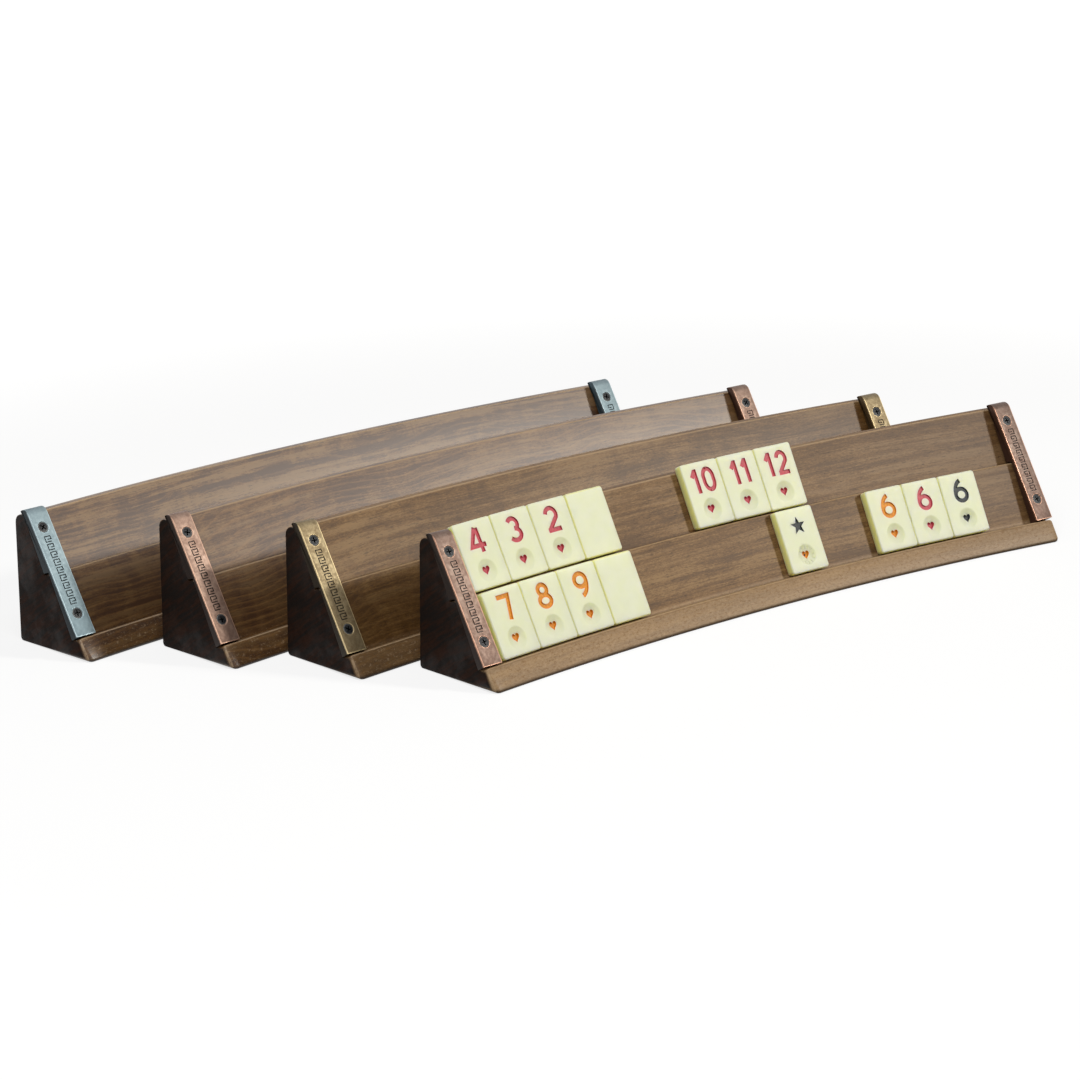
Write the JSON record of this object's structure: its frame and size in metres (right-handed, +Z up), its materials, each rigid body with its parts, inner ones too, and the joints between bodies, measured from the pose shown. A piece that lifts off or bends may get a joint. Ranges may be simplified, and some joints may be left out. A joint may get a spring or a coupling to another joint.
{
  "type": "rummy tile rack set",
  "caption": "Set of curved two-step wooden tile racks with screwed metal end bars, staggered one behind another, the front one holding numbered plastic tiles.",
  "frame": {"origin": "middle of the front rack's flat base, on the table", "axes": "X along the front rack to its right end, Y from the player's side to the racks' backs, Z up"},
  "size_m": [0.5263, 0.2612, 0.0726],
  "materials": {
    "walnut": "satin lacquer over grey-brown walnut stain",
    "antique_copper": "antiqued copper with rubbed bright edges",
    "antique_brass": "antiqued brass with rubbed bright edges",
    "blued_steel": "blue-grey antiqued steel",
    "black_screw": "black",
    "ivory_tile": "glossy ivory"
  },
  "bodies": {
    "front_rack": {"front_rack_body": "walnut", "front_rack_left_bar": "antique_copper", "front_rack_right_bar": "antique_copper", "front_rack_left_screws": "black_screw", "front_rack_right_screws": "black_screw"},
    "second_rack": {"second_rack_body": "walnut", "second_rack_left_bar": "antique_brass", "second_rack_right_bar": "antique_brass", "second_rack_left_screws": "black_screw", "second_rack_right_screws": "black_screw"},
    "third_rack": {"third_rack_body": "walnut", "third_rack_left_bar": "antique_copper", "third_rack_right_bar": "antique_copper", "third_rack_left_screws": "black_screw", "third_rack_right_screws": "black_screw"},
    "back_rack": {"back_rack_body": "walnut", "back_rack_left_bar": "blued_steel", "back_rack_right_bar": "blued_steel", "back_rack_left_screws": "black_screw", "back_rack_right_screws": "black_screw"},
    "red_4_tile": {"tile_red_4": "ivory_tile"},
    "red_3_tile": {"tile_red_3": "ivory_tile"},
    "red_2_tile": {"tile_red_2": "ivory_tile"},
    "upper_face_down_tile": {"tile_upper_face_down": "ivory_tile"},
    "red_10_tile": {"tile_red_10": "ivory_tile"},
    "red_11_tile": {"tile_red_11": "ivory_tile"},
    "red_12_tile": {"tile_red_12": "ivory_tile"},
    "yellow_7_tile": {"tile_yellow_7": "ivory_tile"},
    "yellow_8_tile": {"tile_yellow_8": "ivory_tile"},
    "yellow_9_tile": {"tile_yellow_9": "ivory_tile"},
    "lower_face_down_tile": {"tile_lower_face_down": "ivory_tile"},
    "joker_tile": {"tile_joker": "ivory_tile"},
    "yellow_6_tile": {"tile_yellow_6": "ivory_tile"},
    "red_6_tile": {"tile_red_6": "ivory_tile"},
    "black_6_tile": {"tile_black_6": "ivory_tile"}
  },
  "joints": [
    {"name": "second_rack_lift", "type": "slide", "parent": "front_rack", "child": "second_rack", "axis": [0, 0, 1], "range_m": [0, 0.12]},
    {"name": "third_rack_lift", "type": "slide", "parent": "front_rack", "child": "third_rack", "axis": [0, 0, 1], "range_m": [0, 0.12]},
    {"name": "back_rack_lift", "type": "slide", "parent": "front_rack", "child": "back_rack", "axis": [0, 0, 1], "range_m": [0, 0.12]},
    {"name": "tile_red_4_pull", "type": "slide", "parent": "front_rack", "child": "red_4_tile", "axis": [0.1101, -0.8818, 0.4586], "range_m": [0, 0.012]},
    {"name": "tile_red_3_pull", "type": "slide", "parent": "front_rack", "child": "red_3_tile", "axis": [0.094, -0.8836, 0.4587], "range_m": [0, 0.012]},
    {"name": "tile_red_2_pull", "type": "slide", "parent": "front_rack", "child": "red_2_tile", "axis": [0.0779, -0.8852, 0.4586], "range_m": [0, 0.012]},
    {"name": "tile_upper_face_down_pull", "type": "slide", "parent": "front_rack", "child": "upper_face_down_tile", "axis": [0.0618, -0.8865, 0.4586], "range_m": [0, 0.012]},
    {"name": "tile_red_10_pull", "type": "slide", "parent": "front_rack", "child": "red_10_tile", "axis": [0.0119, -0.8885, 0.4586], "range_m": [0, 0.012]},
    {"name": "tile_red_11_pull", "type": "slide", "parent": "front_rack", "child": "red_11_tile", "axis": [-0.0043, -0.8886, 0.4586], "range_m": [0, 0.012]},
    {"name": "tile_red_12_pull", "type": "slide", "parent": "front_rack", "child": "red_12_tile", "axis": [-0.0205, -0.8884, 0.4586], "range_m": [0, 0.012]},
    {"name": "tile_yellow_7_pull", "type": "slide", "parent": "front_rack", "child": "yellow_7_tile", "axis": [0.1106, -0.8817, 0.4586], "range_m": [0, 0.012]},
    {"name": "tile_yellow_8_pull", "type": "slide", "parent": "front_rack", "child": "yellow_8_tile", "axis": [0.0943, -0.8836, 0.4586], "range_m": [0, 0.012]},
    {"name": "tile_yellow_9_pull", "type": "slide", "parent": "front_rack", "child": "yellow_9_tile", "axis": [0.0779, -0.8852, 0.4586], "range_m": [0, 0.012]},
    {"name": "tile_lower_face_down_pull", "type": "slide", "parent": "front_rack", "child": "lower_face_down_tile", "axis": [0.0616, -0.8865, 0.4586], "range_m": [0, 0.012]},
    {"name": "tile_joker_pull", "type": "slide", "parent": "front_rack", "child": "joker_tile", "axis": [-0.0188, -0.8884, 0.4587], "range_m": [0, 0.012]},
    {"name": "tile_yellow_6_pull", "type": "slide", "parent": "front_rack", "child": "yellow_6_tile", "axis": [-0.0593, -0.8866, 0.4586], "range_m": [0, 0.012]},
    {"name": "tile_red_6_pull", "type": "slide", "parent": "front_rack", "child": "red_6_tile", "axis": [-0.0756, -0.8854, 0.4586], "range_m": [0, 0.012]},
    {"name": "tile_black_6_pull", "type": "slide", "parent": "front_rack", "child": "black_6_tile", "axis": [-0.092, -0.8838, 0.4586], "range_m": [0, 0.012]}
  ]
}
